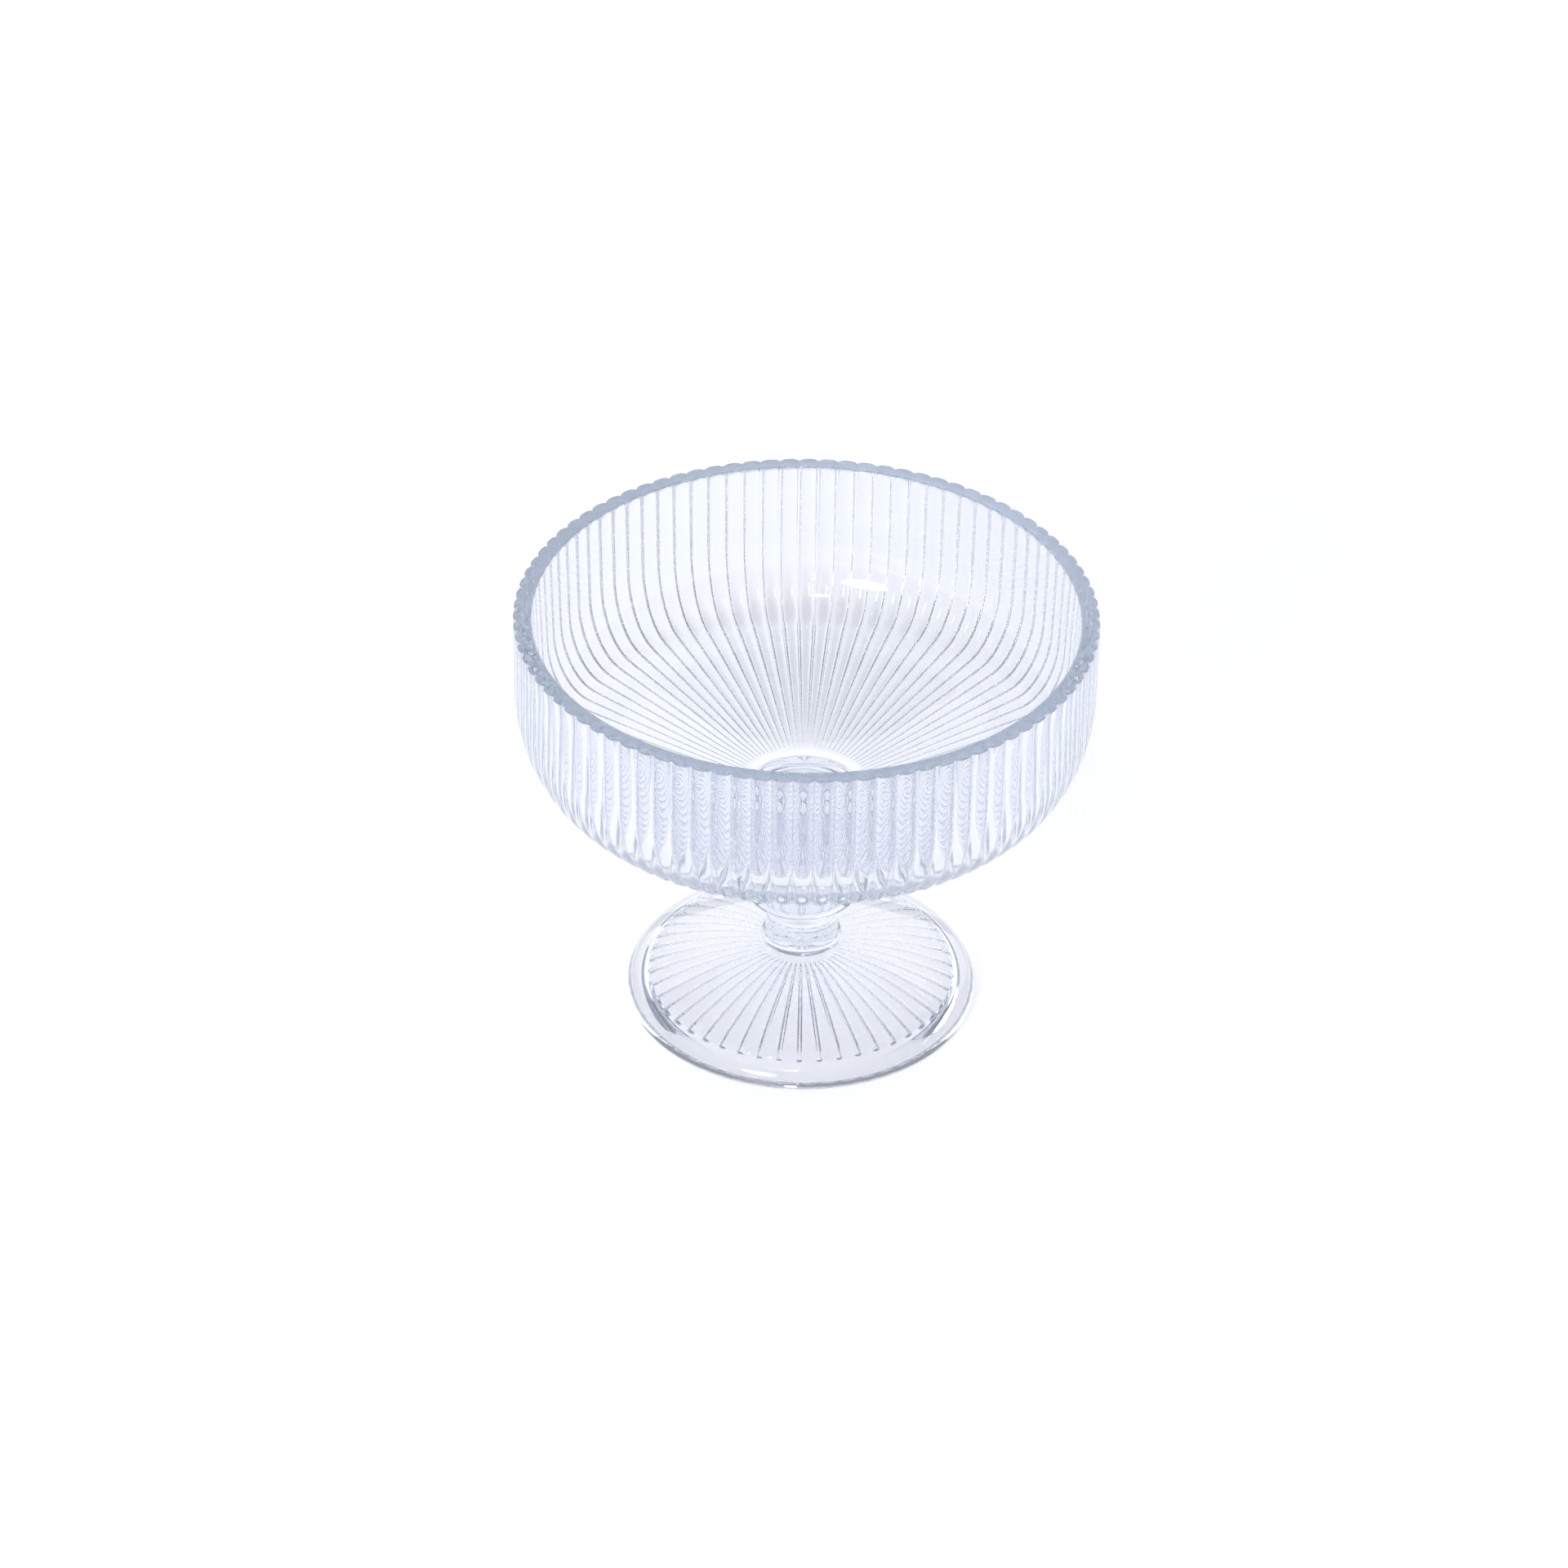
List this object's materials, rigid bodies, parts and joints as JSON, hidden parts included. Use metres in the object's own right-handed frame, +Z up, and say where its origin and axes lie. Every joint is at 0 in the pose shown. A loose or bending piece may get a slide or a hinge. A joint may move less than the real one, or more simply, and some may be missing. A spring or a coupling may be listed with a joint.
{
  "type": "dessert glass",
  "caption": "Footed dessert glass: a round ribbed bowl on a short stem and a wide domed foot, pressed in one piece of clear glass.",
  "frame": {"origin": "centre of the foot's underside, on the surface that the glass stands on", "axes": "+Z up along the glass's axis, from the foot to the rim"},
  "size_m": [0.11, 0.11, 0.0869],
  "materials": {
    "clear_glass": "clear pressed glass with a faint blue tint, polished all over"
  },
  "bodies": {
    "root": {"dessert_glass": "clear_glass"}
  },
  "joints": []
}
